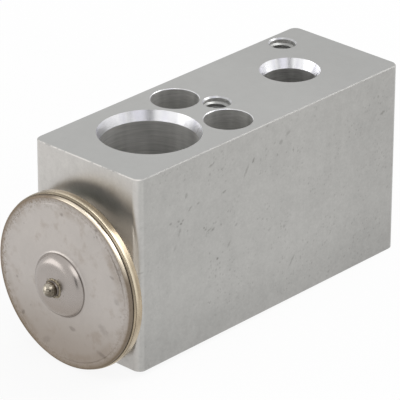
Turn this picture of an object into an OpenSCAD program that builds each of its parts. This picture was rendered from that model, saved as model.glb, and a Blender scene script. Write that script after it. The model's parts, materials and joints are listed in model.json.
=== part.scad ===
// Block-type expansion valve with a screwed-in power element.
// Origin at the centre of the evaporator face, X along the valve axis away from the power element,
// Z along the ports towards the hose face. Millimetres.

/* [Body block] */
// Length of the block along the valve axis
body_l = 86; // [85:0.5:100]
// Width of the block across its two side faces
body_w = 32; // [30:0.5:50]
// Height of the block from the evaporator face to the hose face
body_h = 46.6; // [46:0.2:70]
// Radius of the four upright edges of the drawn bar
corner_r = 2; // [0.5:0.1:4]
// Broken edge round the two milled port faces
edge_break = 0.2; // [0.05:0.05:0.6]
// Height of the valve axis above the evaporator face
axis_h = 19.3; // [19:0.1:21]

/* [Suction passage] */
// Centre of the suction passage from the head end face
suction_from_head = 20; // [19.5:0.1:21]
// Bore that takes the suction pipe pilot
suction_bore_d = 22; // [21.5:0.1:22.5]
// Mouth of the taper that leads the pipe seal in
suction_mouth_d = 23.5; // [23:0.1:25]
// Depth of that taper
suction_taper = 2.4; // [1:0.1:4]
// Depth of the pilot bore from each port face
suction_bore_depth = 12; // [8:0.5:12.5]
// Passage between the two pilot bores
suction_passage_d = 20; // [14:0.5:21]

/* [Liquid ports] */
// Centre of the liquid inlet from the head end face
inlet_from_head = 66.3; // [65.8:0.1:67]
// Centre of the outlet to the evaporator from the head end face
outlet_from_head = 51.5; // [51:0.1:52]
// Bore that takes a liquid pipe pilot
liquid_bore_d = 12.2; // [11:0.1:13]
// Mouth of the taper that leads the pipe seal in
liquid_mouth_d = 14; // [13.5:0.1:16]
// Depth of that taper
liquid_taper = 2.3; // [1:0.1:4]
// Depth of the inlet pilot bore
inlet_bore_depth = 14; // [8:0.5:16]
// Depth of the outlet pilot bore
outlet_bore_depth = 11; // [6:0.5:12]
// Drilled passage from the inlet bore to the valve chamber
inlet_passage_d = 8; // [5:0.5:9]
// Drilled passage from the outlet bore to the low side of the seat
outlet_passage_d = 10; // [6:0.5:10.5]
// Height of the outlet passage's end above the valve axis
outlet_overrun = 3.5; // [2:0.5:5]

/* [Flange screw holes] */
// Line of the two screw holes from the head end face
screw_from_head = 36.7; // [36:0.1:37.5]
// Distance between the two screw holes
screw_spacing = 16.2; // [15.5:0.1:19]
// Counterbore for the cap screw head
screw_head_d = 11; // [9.5:0.1:11.5]
// Depth of the counterbore
screw_head_depth = 20; // [10:0.5:24]
// Clearance hole for the screw shank
screw_hole_d = 6.6; // [6:0.1:7]
// Broken edge at the mouths of the plain holes
hole_break = 0.15; // [0.05:0.05:0.4]

/* [Threaded holes] */
// Major diameter of the two threaded holes
tap_d = 6; // [5:0.5:6]
// Depth of full thread
tap_depth = 15; // [8:0.5:16]
// Countersunk mouth of a threaded hole
tap_mouth_d = 6.7; // [6.4:0.1:8]
// Hose plate thread from the head end face
plate_tap_from_head = 41.8; // [41.7:0.1:43]
// Bracket thread from the head end face
bracket_tap_from_head = 76.6; // [76:0.1:78]
// Bracket thread's offset from the valve axis towards the left side face
bracket_tap_offset = 11.5; // [10:0.1:12]

/* [Power element] */
// Diameter over the welded rim
rim_d = 41; // [40:0.5:44]
// Gap between the rim and the head end face
rim_standoff = 3.6; // [3:0.1:5]
// Thickness of the lower cap's rim
lower_rim_t = 2.15; // [1.5:0.05:3]
// Sheet of the two drawn caps
cap_sheet_t = 1.1; // [0.8:0.05:1.4]
// Sheet of the diaphragm
diaphragm_t = 0.2; // [0.1:0.05:0.3]
// Diameter where the cap's field starts inside the flat rim
field_d = 37; // [36:0.5:38]
// Rise of the field's edge above the flat rim
field_step = 0.15; // [0.05:0.05:0.5]
// Rise of the slightly conical field up to the dome
field_rise = 0.85; // [0.4:0.05:1.5]
// Diameter of the dome at its crease
dome_d = 14.8; // [13:0.2:17]
// Height of the dome above its crease
dome_rise = 2.3; // [2.2:0.1:3.5]
// Radius of the dome's shoulder
dome_shoulder_r = 2.6; // [2:0.1:2.7]
// Reach of the shoulder beyond its centre at the crease, as a share of its radius
dome_shoulder_share = 0.98; // [0.8:0.02:0.98]
// Radius of the hollow fillet at the foot of the dome
dome_foot_r = 1; // [0.5:0.1:1.5]
// Setback of the cap's edge from the lower cap's rim
cap_setback = 0.35; // [0.25:0.05:0.5]
// Rounding of the cap's outer edge
cap_edge_r = 0.45; // [0.2:0.05:0.8]
// Rounding of the caps' edges at the weld seam
seam_edge_r = 0.28; // [0.16:0.02:0.3]
// Radius of the weld bead round the caps' edges
weld_bead_r = 0.33; // [0.28:0.01:0.4]
// Setback of the weld bead from the lower cap's rim
weld_setback = 0.05; // [0.02:0.01:0.1]
// Depth of the groove between the weld bead and the lower cap's rim
weld_groove = 0.14; // [0.1:0.02:0.16]
// Ball that closes the charge hole
charge_ball_d = 3.4; // [3:0.1:4]
// Height of the ball's centre above the top of the dome
charge_ball_rise = 0.95; // [0.5:0.05:1.2]
// Charge hole under the ball
charge_hole_d = 1.6; // [1:0.1:2]
// Width across the weld collar round the ball
charge_weld_d = 4.4; // [4.2:0.1:5]
// Diameter of the lower cap's flat floor
pan_floor_d = 30; // [29:0.5:31]
// Diameter where the rim of the lower cap meets its cone
pan_rim_d = 35; // [34:0.5:36]
// Corrugations between the stop and the rim
corrugation_n = 2; // [1:1:3]
// Height of one corrugation to each side
corrugation_h = 0.3; // [0.1:0.05:0.4]

/* [Threaded collar] */
// Major diameter of the collar's thread
collar_d = 22; // [21:0.5:22]
// Length of the collar inside the block
collar_l = 7.6; // [5:0.1:7.6]
// Bore through the collar
collar_bore_d = 17; // [14:0.5:18]
// Neck of the collar welded into the lower cap
collar_neck_d = 20; // [18.5:0.5:20.5]
// Chamfer at the collar's free end
collar_chamfer = 0.8; // [0.3:0.1:1.2]
// Room between the collar's end and the bottom of its hole
collar_runout = 0.4; // [0.2:0.1:0.6]
// Opening from the collar's hole into the suction passage
window_d = 13; // [10:0.5:13.5]
// Recess for the seal round the collar
head_seal_recess_d = 26.6; // [26:0.2:27]
// Depth of that recess
head_seal_recess_depth = 1.4; // [1.2:0.05:1.6]

/* [Diaphragm stop and rod] */
// Stop plate under the diaphragm
stop_d = 24; // [22:0.5:25]
// Room left under the stop plate when the valve is fully open
stop_room = 0.25; // [0.1:0.05:0.8]
// Hub of the stop plate that holds the rod
hub_d = 10; // [8:0.5:12]
// Length of the hub
hub_l = 4.5; // [3:0.1:6]
// Depth of the rod's socket in the stop
rod_socket_depth = 5; // [3:0.1:6]
// Sensing rod across the suction passage
rod_d = 5.5; // [5:0.1:5.7]
// Gland for the rod's seal
rod_gland_d = 8.1; // [8:0.1:8.6]
// Floor of the gland from the head end face
rod_gland_from_head = 34; // [33.5:0.1:34.2]
// Sheet of the star ring that holds the rod's seal
retainer_t = 0.4; // [0.3:0.05:0.6]
// Hole of the star ring
retainer_hole_d = 6.3; // [6:0.1:6.8]
// Teeth of the star ring
retainer_n = 8; // [5:1:10]
// Round gap between two teeth
retainer_notch_d = 1; // [0.5:0.1:1.1]
// Pin from the rod to the ball
pin_d = 2.4; // [1.8:0.1:2.6]
// Depth of the pin's socket in the rod
pin_socket_depth = 3; // [2:0.1:5]
// Distance of the rod's end from the outlet passage
rod_setback = 0.9; // [0.8:0.1:2]

/* [Seat and ball] */
// Wall between the outlet passage and the valve chamber
seat_wall = 3.4; // [3:0.1:3.8]
// Orifice through that wall
orifice_d = 3.4; // [3.2:0.1:3.5]
// Mouth of the conical seat
seat_mouth_d = 4.8; // [4.4:0.1:5]
// Valve ball
ball_d = 5; // [5:0.1:5.4]
// Valve chamber
chamber_d = 12; // [11.8:0.1:12.2]
// Travel of the ball from closed to fully open
lift = 0.8; // [0.5:0.1:0.8]
// Cup of the ball support
cup_d = 6.4; // [6:0.1:6.8]
// Distance of the cup's lip behind the ball's centre
cup_lip = 0.7; // [0.4:0.1:1]
// Distance of the spring plate behind the ball's centre
cup_l = 3; // [2.9:0.1:3.4]
// Plate of the ball support under the spring
support_d = 9.5; // [9.2:0.1:9.8]
// Thickness of that plate
support_t = 1.2; // [0.8:0.1:1.6]
// Spigot that centres the spring
spigot_d = 6.4; // [5.5:0.1:6.8]
// Length of the spigot
spigot_l = 2.6; // [1.5:0.1:3]
// Sheet of the damper spring
damper_t = 0.25; // [0.15:0.05:0.3]
// Number of legs on the damper spring
damper_n = 6; // [3:1:8]
// Width of a leg
damper_leg_w = 1.6; // [1:0.1:2]
// Length of a leg along the valve axis
damper_leg_l = 3; // [2:0.1:3.4]

/* [Superheat spring] */
// Wire of the spring
wire_d = 1.2; // [0.9:0.05:1.2]
// Mean diameter of the coil
coil_d = 8.2; // [8:0.1:8.4]
// Free coils
active_turns = 3.5; // [2.5:0.5:4]
// Closed coils at each end
closed_turns = 1; // [1:0.25:1.25]

/* [Adjuster] */
// Major diameter of the adjuster's thread
adjuster_d = 16; // [16:0.5:18]
// Length of the threaded part
adjuster_thread_l = 5.9; // [5:0.1:6.5]
// Depth of the adjuster's outer face below the adjuster end face
adjuster_recess = 1.2; // [1.1:0.1:2]
// Travel of the adjuster to each side for one turn
adjuster_travel = 1; // [0.75:0.25:1]
// Smooth bore for the adjuster's seal
seal_bore_d = 14.7; // [14.4:0.1:14.9]
// Length of the smooth nose
nose_l = 7.9; // [7.6:0.1:8.2]
// Cup in the nose for the spring
spring_cup_d = 10.2; // [10:0.1:10.6]
// Depth of that cup
spring_cup_depth = 5; // [4:0.1:5.2]
// Groove floor diameter for the seal
groove_d = 12.3; // [12:0.1:12.6]
// Width of the groove
groove_w = 1.6; // [1.4:0.1:1.8]
// Groove's centre from the nose's end
groove_from_nose = 4.7; // [4:0.1:4.8]
// Hexagon socket across flats
hex_af = 6; // [6:0.5:8]
// Depth of the hexagon socket
hex_depth = 4.5; // [4:0.1:5]
// Chamfers of the adjuster and its hole
adjuster_chamfer = 0.5; // [0.2:0.1:0.8]

/* [Fits] */
// Radial clearance of sliding and threaded fits
running_gap = 0.05; // [0.02:0.01:0.08]
// Distance between touching pieces that part in use
seat_gap = 0.1; // [0.05:0.05:0.2]
// Distance between pieces assembled for good
rest_gap = 0.02; // [0.01:0.01:0.05]
// Radial room for O-rings between their walls
seal_gap = 0.03; // [0.01:0.01:0.05]
// Room ahead of a moving end at the end of its travel
travel_room = 0.3; // [0.2:0.1:0.5]

/* [Hidden] */

$fn = 96;
// Overrun of a cutting shape past the face that it cuts
cut = 1;
// Included half angle of a drill's point
drill_half_angle = 59;
wire_sides = 10;
rings_per_turn = 20;
corrugation_steps = 12;

aluminium = "#b4b8ba";
stainless = "#b5aaa2";
polished_steel = "#c9c7c4";
spring_steel = "#8f9192";
brass = "#c2a25a";
rubber = "#2b2d2e";

// Stations along the valve axis
head_x = -body_l / 2;
end_x = body_l / 2;
suction_x = head_x + suction_from_head;
screw_x = head_x + screw_from_head;
plate_tap_x = head_x + plate_tap_from_head;
outlet_x = head_x + outlet_from_head;
inlet_x = head_x + inlet_from_head;
bracket_tap_x = head_x + bracket_tap_from_head;
gland_floor_x = head_x + rod_gland_from_head;
rod_cord_d = (rod_gland_d - rod_d) / 2 - 2 * seal_gap;
collar_hole_depth = collar_l + collar_runout;

// Power element, measured outwards from the head end face
seam_h = rim_standoff + lower_rim_t;
cap_foot_h = seam_h + diaphragm_t;
cap_rim_r = rim_d / 2 - cap_setback;
weld_centre_r = rim_d / 2 - weld_setback - weld_bead_r;
groove_h = seam_h - sqrt(pow(weld_bead_r, 2) - pow(rim_d / 2 - weld_groove - weld_centre_r, 2));
lip_h = groove_h + seam_edge_r - sqrt(pow(seam_edge_r, 2) - pow(seam_edge_r - weld_groove, 2));
cap_rim_h = cap_foot_h + cap_sheet_t;
field_edge_h = cap_rim_h + field_step;
crease_h = field_edge_h + field_rise;
dome_top_h = crease_h + dome_rise;
shoulder_centre_r = dome_d / 2 - dome_shoulder_share * dome_shoulder_r;
shoulder_centre_h = crease_h - sqrt(pow(dome_shoulder_r, 2) - pow(dome_d / 2 - shoulder_centre_r, 2));
dome_reach = dome_top_h - shoulder_centre_h;
dome_r = (pow(shoulder_centre_r, 2) + pow(dome_reach, 2) - pow(dome_shoulder_r, 2))
    / (2 * (dome_reach - dome_shoulder_r));
foot_centre_r = shoulder_centre_r
    + sqrt(pow(dome_shoulder_r + dome_foot_r, 2) - pow(crease_h + dome_foot_r - shoulder_centre_h, 2));
charge_ball_h = dome_top_h + charge_ball_rise;
diaphragm_h = seam_h + diaphragm_t / 2;

// Stop plate and rod
stop_front_h = seam_h - seat_gap;
stop_rear_h = cap_sheet_t + lift + stop_room;
stop_t = stop_front_h - stop_rear_h;
hub_end_x = head_x - stop_rear_h + hub_l;
rod_start_x = hub_end_x - rod_socket_depth;
rod_end_x = outlet_x - outlet_passage_d / 2 - rod_setback;

// Seat, ball and support
seat_face_x = outlet_x + outlet_passage_d / 2 + seat_wall;
seat_cone_depth = (seat_mouth_d - orifice_d) / 2;
ball_x = seat_face_x - seat_mouth_d / 2 + (ball_d / 2 + seat_gap) * sqrt(2);
pin_start_x = rod_end_x - pin_socket_depth;
pin_end_x = ball_x - ball_d / 2 - rest_gap;
support_front_x = ball_x + cup_l;
support_rear_x = support_front_x + support_t;

// Adjuster
adjuster_out_x = end_x - adjuster_recess;
thread_start_x = adjuster_out_x - adjuster_thread_l;
nose_x = thread_start_x - nose_l;
cup_floor_x = nose_x + spring_cup_depth;
groove_x = nose_x + groove_from_nose;
thread_hole_x = thread_start_x - adjuster_travel - travel_room;
chamber_end_x = nose_x - adjuster_travel - travel_room;

// Places its children on the valve axis at station x, their Z along +X
module on_axis(x) {
    translate([x, 0, axis_h]) rotate([0, 90, 0]) children();
}

// The same from the head end face, their Z outwards along -X
module on_head() {
    translate([head_x, 0, axis_h]) rotate([0, -90, 0]) children();
}

module tube(h, d_out, d_in) {
    difference() {
        cylinder(h = h, d = d_out);
        translate([0, 0, -cut]) cylinder(h = h + 2 * cut, d = d_in);
    }
}

// O-ring between an inner and an outer wall, centred on z = 0
module o_ring(d_in, d_out) {
    cord_d = (d_out - d_in) / 2 - 2 * seal_gap;
    rotate_extrude() translate([(d_in + d_out) / 4, 0]) circle(d = cord_d);
}

// Quarter of a square outside a round corner, its sharp corner at the origin
module corner_waste(r) {
    difference() {
        translate([-r, 0]) square([r + cut, r]);
        translate([-r, r]) circle(r);
    }
}

// Rectangle of a revolved profile with its two outer corners rounded
module rounded_band(r_in, r_out, h_low, h_high, low_r, high_r) {
    difference() {
        translate([r_in, h_low]) square([r_out - r_in, h_high - h_low]);
        translate([r_out, h_low]) corner_waste(low_r);
        translate([r_out, h_high]) mirror([0, 1]) corner_waste(high_r);
    }
}

// Section of the bar in a plane across one horizontal direction, with its port face edges broken
module broken_section(width) {
    polygon([
        [-width / 2 + edge_break, 0],
        [width / 2 - edge_break, 0],
        [width / 2, edge_break],
        [width / 2, body_h - edge_break],
        [width / 2 - edge_break, body_h],
        [-width / 2 + edge_break, body_h],
        [-width / 2, body_h - edge_break],
        [-width / 2, edge_break]
    ]);
}

module upright_corner() {
    rotate_extrude() polygon([
        [0, 0],
        [corner_r - edge_break, 0],
        [corner_r, edge_break],
        [corner_r, body_h - edge_break],
        [corner_r - edge_break, body_h],
        [0, body_h]
    ]);
}

module bar() {
    along = body_l - 2 * corner_r;
    across = body_w - 2 * corner_r;
    rotate([90, 0, 90]) linear_extrude(along, center = true) broken_section(body_w);
    rotate([90, 0, 0]) linear_extrude(across, center = true) broken_section(body_l);
    for (sx = [-1, 1], sy = [-1, 1])
        translate([sx * along / 2, sy * across / 2, 0]) upright_corner();
}

// Pipe port cut down from z = 0: tapered mouth, then a pilot bore
module pipe_port(bore_d, mouth_d, taper, depth) {
    rotate_extrude() polygon([
        [0, cut],
        [mouth_d / 2, cut],
        [mouth_d / 2, 0],
        [bore_d / 2, -taper],
        [bore_d / 2, -depth],
        [0, -depth]
    ]);
}

// Plain drilled hole cut down from z = 0 with a broken edge
module plain_hole(d, depth, edge) {
    rotate_extrude() polygon([
        [0, cut],
        [d / 2 + edge, cut],
        [d / 2 + edge, 0],
        [d / 2, -edge],
        [d / 2, -depth],
        [0, -depth]
    ]);
}

// Blind threaded hole cut down from z = 0, to its major diameter and with a drill point
module threaded_hole() {
    point = tap_d / 2 / tan(drill_half_angle);
    mouth = (tap_mouth_d - tap_d) / 2;
    rotate_extrude() polygon([
        [0, cut],
        [tap_mouth_d / 2, cut],
        [tap_mouth_d / 2, 0],
        [tap_d / 2, -mouth],
        [tap_d / 2, -tap_depth],
        [0, -tap_depth - point]
    ]);
}

// Turns a shape that cuts down into the hose face so that it cuts up into the evaporator face
module from_below() {
    rotate([180, 0, 0]) children();
}

module suction_ports() {
    translate([suction_x, 0, 0]) {
        translate([0, 0, body_h])
            pipe_port(suction_bore_d, suction_mouth_d, suction_taper, suction_bore_depth);
        from_below() pipe_port(suction_bore_d, suction_mouth_d, suction_taper, suction_bore_depth);
        translate([0, 0, cut]) cylinder(h = body_h - 2 * cut, d = suction_passage_d);
    }
}

module liquid_inlet() {
    translate([inlet_x, 0, body_h])
        pipe_port(liquid_bore_d, liquid_mouth_d, liquid_taper, inlet_bore_depth);
    translate([inlet_x, 0, axis_h])
        cylinder(h = body_h - inlet_bore_depth - axis_h + cut, d = inlet_passage_d);
}

module liquid_outlet() {
    translate([outlet_x, 0, 0]) {
        from_below() pipe_port(liquid_bore_d, liquid_mouth_d, liquid_taper, outlet_bore_depth);
        translate([0, 0, cut]) cylinder(h = axis_h + outlet_overrun - cut, d = outlet_passage_d);
    }
}

module flange_screw_holes() {
    for (side = [-1, 1])
        translate([screw_x, side * screw_spacing / 2, 0]) {
            translate([0, 0, body_h]) plain_hole(screw_head_d, screw_head_depth, hole_break);
            from_below() plain_hole(screw_hole_d, body_h - screw_head_depth + cut, hole_break);
        }
}

module threaded_holes() {
    translate([plate_tap_x, 0, body_h]) threaded_hole();
    translate([bracket_tap_x, bracket_tap_offset, body_h]) threaded_hole();
}

// Stepped hole from the head end face: seal recess, collar thread, window, gland and rod guide
module head_bores() {
    on_axis(head_x) {
        translate([0, 0, -cut]) cylinder(h = head_seal_recess_depth + cut, d = head_seal_recess_d);
        translate([0, 0, -cut]) cylinder(h = collar_hole_depth + cut, d = collar_d);
        cylinder(h = suction_from_head, d = window_d);
        translate([0, 0, suction_from_head])
            cylinder(h = rod_gland_from_head - suction_from_head, d = rod_gland_d);
        translate([0, 0, suction_from_head])
            cylinder(h = outlet_from_head - suction_from_head, d = rod_d + 2 * running_gap);
    }
}

// Stepped hole from the adjuster end face: thread, seal bore, chamber, seat and orifice
module adjuster_bores() {
    thread_r = adjuster_d / 2;
    seal_r = seal_bore_d / 2;
    on_axis(0) rotate_extrude() polygon([
        [0, outlet_x],
        [orifice_d / 2, outlet_x],
        [orifice_d / 2, seat_face_x - seat_cone_depth],
        [seat_mouth_d / 2, seat_face_x],
        [chamber_d / 2, seat_face_x],
        [chamber_d / 2, chamber_end_x],
        [seal_r, chamber_end_x],
        [seal_r, thread_hole_x - (thread_r - seal_r)],
        [thread_r, thread_hole_x],
        [thread_r, end_x - adjuster_chamfer],
        [thread_r + adjuster_chamfer, end_x],
        [thread_r + adjuster_chamfer, end_x + cut],
        [0, end_x + cut]
    ]);
}

module valve_body() {
    color(aluminium) difference() {
        bar();
        suction_ports();
        liquid_inlet();
        liquid_outlet();
        flange_screw_holes();
        threaded_holes();
        head_bores();
        adjuster_bores();
    }
}

// Dome profile with a round shoulder and a slightly arched top, thinned by inset for the inside
module dome_profile(inset) {
    shoulder_r = dome_shoulder_r - inset;
    top_r = dome_r - inset;
    tangent_r = top_r * shoulder_centre_r / (dome_r - dome_shoulder_r);
    translate([shoulder_centre_r, shoulder_centre_h]) circle(shoulder_r);
    translate([0, seam_h]) square([shoulder_centre_r, shoulder_centre_h + shoulder_r - seam_h]);
    intersection() {
        translate([0, dome_top_h - dome_r]) circle(top_r);
        translate([0, seam_h]) square([tangent_r, dome_top_h - seam_h]);
    }
}

// Hollow fillet between the field and the dome's shoulder
module dome_foot() {
    difference() {
        polygon([
            [shoulder_centre_r, shoulder_centre_h],
            [foot_centre_r, shoulder_centre_h],
            [foot_centre_r, crease_h + dome_foot_r]
        ]);
        translate([foot_centre_r, crease_h + dome_foot_r]) circle(dome_foot_r);
    }
}

module cap_outside() {
    rounded_band(0, cap_rim_r, cap_foot_h, cap_rim_h, seam_edge_r, cap_edge_r);
    polygon([
        [0, cap_foot_h],
        [field_d / 2, cap_foot_h],
        [field_d / 2, cap_rim_h],
        [field_d / 2 - field_step, field_edge_h],
        [foot_centre_r, crease_h],
        [0, crease_h]
    ]);
    dome_foot();
    intersection() {
        dome_profile(0);
        translate([0, cap_foot_h]) square([dome_d, dome_top_h]);
    }
}

module cap_inside() {
    wall_r = field_d / 2 - cap_sheet_t;
    polygon([
        [0, cap_foot_h - cut],
        [wall_r, cap_foot_h - cut],
        [wall_r, cap_foot_h],
        [wall_r - field_step, field_edge_h - cap_sheet_t],
        [foot_centre_r, crease_h - cap_sheet_t],
        [0, crease_h - cap_sheet_t]
    ]);
    intersection() {
        dome_profile(cap_sheet_t);
        translate([0, cap_foot_h]) square([dome_d, dome_top_h]);
    }
}

module power_element_cap() {
    weld_h = charge_ball_h - dome_top_h;
    color(stainless) on_head() difference() {
        union() {
            rotate_extrude() cap_outside();
            translate([0, 0, dome_top_h - weld_h / 2])
                cylinder(h = weld_h, d1 = charge_weld_d, d2 = charge_ball_d);
        }
        rotate_extrude() cap_inside();
        translate([0, 0, charge_ball_h]) sphere(d = charge_ball_d + 2 * rest_gap);
        translate([0, 0, cap_foot_h]) cylinder(h = charge_ball_h - cap_foot_h, d = charge_hole_d);
    }
}

module charge_ball() {
    color(polished_steel) on_head() translate([0, 0, charge_ball_h]) sphere(d = charge_ball_d);
}

// Height of the diaphragm's middle plane at radius r
function wave(r, r_in, r_out) = r <= r_in || r >= r_out
    ? diaphragm_h
    : diaphragm_h + corrugation_h * sin(360 * corrugation_n * (r - r_in) / (r_out - r_in));

module diaphragm() {
    clamp_r = field_d / 2 - cap_sheet_t;
    edge_r = cap_rim_r - seam_edge_r;
    flat_r = stop_d / 2 + corrugation_h;
    wave_end_r = pan_rim_d / 2 - corrugation_h - cap_sheet_t / 2;
    steps = corrugation_n * corrugation_steps;
    wave_rs = [for (i = [0:steps]) flat_r + (wave_end_r - flat_r) * i / steps];
    rs = concat([0], wave_rs, [edge_r]);
    top = [for (r = rs) [r, wave(r, flat_r, wave_end_r) + diaphragm_t / 2]];
    bottom = [for (i = [len(rs) - 1:-1:0]) [rs[i], wave(rs[i], flat_r, wave_end_r) - diaphragm_t / 2]];
    assert(wave_end_r < clamp_r);
    color(spring_steel) on_head() rotate_extrude() polygon(concat(top, bottom));
}

// Weld bead round the edges of the cap and the diaphragm
module weld_bead() {
    difference() {
        translate([weld_centre_r, seam_h]) circle(weld_bead_r);
        translate([0, seam_h]) square([cap_rim_r + rest_gap, weld_bead_r + cut]);
    }
}

// Pan with a flat floor on the block, a conical wall and a thick rim
module lower_cap() {
    floor_r = pan_floor_d / 2;
    rim_in_r = pan_rim_d / 2;
    neck_r = collar_neck_d / 2 + rest_gap;
    color(stainless) on_head() rotate_extrude() {
        rounded_band(rim_in_r, rim_d / 2, rim_standoff, lip_h, seam_edge_r, seam_edge_r);
        translate([rim_in_r, rim_standoff]) square([weld_centre_r - rim_in_r, lower_rim_t]);
        weld_bead();
        polygon([
            [neck_r, 0],
            [floor_r, 0],
            [rim_in_r + cap_sheet_t, rim_standoff],
            [rim_in_r + cap_sheet_t, seam_h],
            [rim_in_r, seam_h],
            [rim_in_r - cap_sheet_t / 2, rim_standoff + cap_sheet_t],
            [floor_r - cap_sheet_t, cap_sheet_t],
            [neck_r, cap_sheet_t]
        ]);
    }
}

module threaded_collar() {
    thread_r = collar_d / 2 - running_gap;
    color(stainless) on_head() rotate_extrude() polygon([
        [collar_bore_d / 2, -collar_l],
        [thread_r - collar_chamfer, -collar_l],
        [thread_r, -collar_l + collar_chamfer],
        [thread_r, -rest_gap],
        [collar_neck_d / 2, -rest_gap],
        [collar_neck_d / 2, cap_sheet_t],
        [collar_bore_d / 2, cap_sheet_t]
    ]);
}

module head_seal() {
    cord_d = head_seal_recess_depth - 2 * seal_gap;
    centre_r = (head_seal_recess_d - cord_d) / 2 - seal_gap;
    color(rubber) on_axis(head_x + head_seal_recess_depth / 2)
        rotate_extrude() translate([centre_r, 0]) circle(d = cord_d);
}

module diaphragm_stop() {
    color(brass) on_axis(head_x - stop_front_h) difference() {
        union() {
            cylinder(h = stop_t, d = stop_d);
            cylinder(h = stop_t + hub_l, d = hub_d);
        }
        translate([0, 0, stop_t + hub_l - rod_socket_depth - rest_gap])
            cylinder(h = rod_socket_depth + cut, d = rod_d + 2 * rest_gap);
    }
}

module sensing_rod() {
    length = rod_end_x - rod_start_x;
    color(aluminium) on_axis(rod_start_x) difference() {
        cylinder(h = length, d = rod_d);
        translate([0, 0, length - pin_socket_depth - rest_gap])
            cylinder(h = pin_socket_depth + cut, d = pin_d + 2 * rest_gap);
    }
}

module rod_seal() {
    color(rubber) on_axis(gland_floor_x - rod_cord_d / 2 - seal_gap) o_ring(rod_d, rod_gland_d);
}

// Star-shaped push-on ring that keeps the rod's seal in its gland
module seal_retainer() {
    color(spring_steel) on_axis(gland_floor_x - rod_cord_d - 3 * seal_gap - retainer_t) difference() {
        tube(retainer_t, rod_gland_d - 2 * rest_gap, retainer_hole_d);
        for (i = [0:retainer_n - 1])
            rotate(360 * i / retainer_n) translate([rod_gland_d / 2, 0, -cut])
                cylinder(h = retainer_t + 2 * cut, d = retainer_notch_d);
    }
}

module valve_pin() {
    color(polished_steel) on_axis(pin_start_x) cylinder(h = pin_end_x - pin_start_x, d = pin_d);
}

module valve_ball() {
    color(polished_steel) on_axis(ball_x) sphere(d = ball_d);
}

// Cup that holds the ball, plate under the spring and spigot inside it
module ball_support() {
    color(brass) on_axis(ball_x) difference() {
        union() {
            translate([0, 0, cup_lip]) cylinder(h = cup_l - cup_lip + support_t, d = cup_d);
            translate([0, 0, cup_l]) cylinder(h = support_t, d = support_d);
            translate([0, 0, cup_l]) cylinder(h = support_t + spigot_l, d = spigot_d);
        }
        sphere(d = ball_d + 2 * rest_gap);
    }
}

// Ring behind the cup with thin legs that slide along the chamber wall
module damper_spring() {
    ring_x = support_front_x - damper_t - rest_gap;
    ring_r = support_d / 2 + damper_t;
    tip_r = chamber_d / 2 - 2 * running_gap;
    lean = -atan((tip_r - ring_r) / damper_leg_l);
    color(spring_steel) on_axis(ring_x) {
        tube(damper_t, 2 * ring_r, cup_d + 2 * rest_gap);
        intersection() {
            for (i = [0:damper_n - 1])
                rotate(360 * i / damper_n)
                    translate([ring_r - damper_t, -damper_leg_w / 2, 0])
                        rotate([0, lean, 0])
                            translate([0, 0, -damper_leg_l])
                                cube([damper_t, damper_leg_w, damper_leg_l + damper_t / 2]);
            translate([0, 0, -damper_leg_l]) cylinder(h = damper_leg_l + damper_t, r = tip_r);
        }
    }
}

// Axial place of the wire's middle after so many turns of a spring of this length
function coil_height(turn, length) =
    let(
        closed_pitch = wire_d + rest_gap,
        all_turns = active_turns + 2 * closed_turns,
        pitch = (length - wire_d - 2 * closed_turns * closed_pitch) / active_turns
    )
    wire_d / 2 + (
        turn < closed_turns ? turn * closed_pitch
        : turn > all_turns - closed_turns
            ? length - wire_d - (all_turns - turn) * closed_pitch
            : closed_turns * closed_pitch + (turn - closed_turns) * pitch
    );

module superheat_spring() {
    length = cup_floor_x - support_rear_x - 2 * seat_gap;
    all_turns = active_turns + 2 * closed_turns;
    rings = round(all_turns * rings_per_turn);
    points = [
        for (i = [0:rings], k = [0:wire_sides - 1])
            let(
                turn = all_turns * i / rings,
                around = 360 * k / wire_sides,
                r = coil_d / 2 + wire_d / 2 * cos(around)
            )
            [r * cos(360 * turn), r * sin(360 * turn), coil_height(turn, length) + wire_d / 2 * sin(around)]
    ];
    sides = [
        for (i = [0:rings - 1], k = [0:wire_sides - 1])
            let(a = i * wire_sides, b = a + wire_sides, n = (k + 1) % wire_sides)
            [a + k, a + n, b + n, b + k]
    ];
    start_face = [for (k = [wire_sides - 1:-1:0]) k];
    end_face = [for (k = [0:wire_sides - 1]) rings * wire_sides + k];
    color(spring_steel) on_axis(support_rear_x + seat_gap)
        polyhedron(points, concat(sides, [start_face, end_face]), convexity = 10);
}

// Screw with a spring cup in its nose, a seal groove, a thread and a hexagon socket
module adjusting_screw() {
    nose_r = seal_bore_d / 2 - running_gap;
    thread_r = adjuster_d / 2 - running_gap;
    length = nose_l + adjuster_thread_l;
    groove_low = groove_from_nose - groove_w / 2;
    groove_high = groove_from_nose + groove_w / 2;
    color(brass) on_axis(nose_x) difference() {
        rotate_extrude() polygon([
            [0, 0],
            [nose_r - adjuster_chamfer, 0],
            [nose_r, adjuster_chamfer],
            [nose_r, groove_low],
            [groove_d / 2, groove_low],
            [groove_d / 2, groove_high],
            [nose_r, groove_high],
            [nose_r, nose_l],
            [thread_r - adjuster_chamfer / 2, nose_l],
            [thread_r, nose_l + adjuster_chamfer],
            [thread_r, length - adjuster_chamfer],
            [thread_r - adjuster_chamfer, length],
            [0, length]
        ]);
        translate([0, 0, -cut]) cylinder(h = spring_cup_depth + cut, d = spring_cup_d);
        translate([0, 0, length - hex_depth])
            cylinder(h = hex_depth + cut, d = hex_af / cos(30), $fn = 6);
    }
}

module adjuster_seal() {
    color(rubber) on_axis(groove_x) o_ring(groove_d, seal_bore_d);
}

valve_body();
power_element_cap();
charge_ball();
diaphragm();
lower_cap();
threaded_collar();
head_seal();
diaphragm_stop();
sensing_rod();
rod_seal();
seal_retainer();
valve_pin();
valve_ball();
ball_support();
damper_spring();
superheat_spring();
adjusting_screw();
adjuster_seal();
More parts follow.
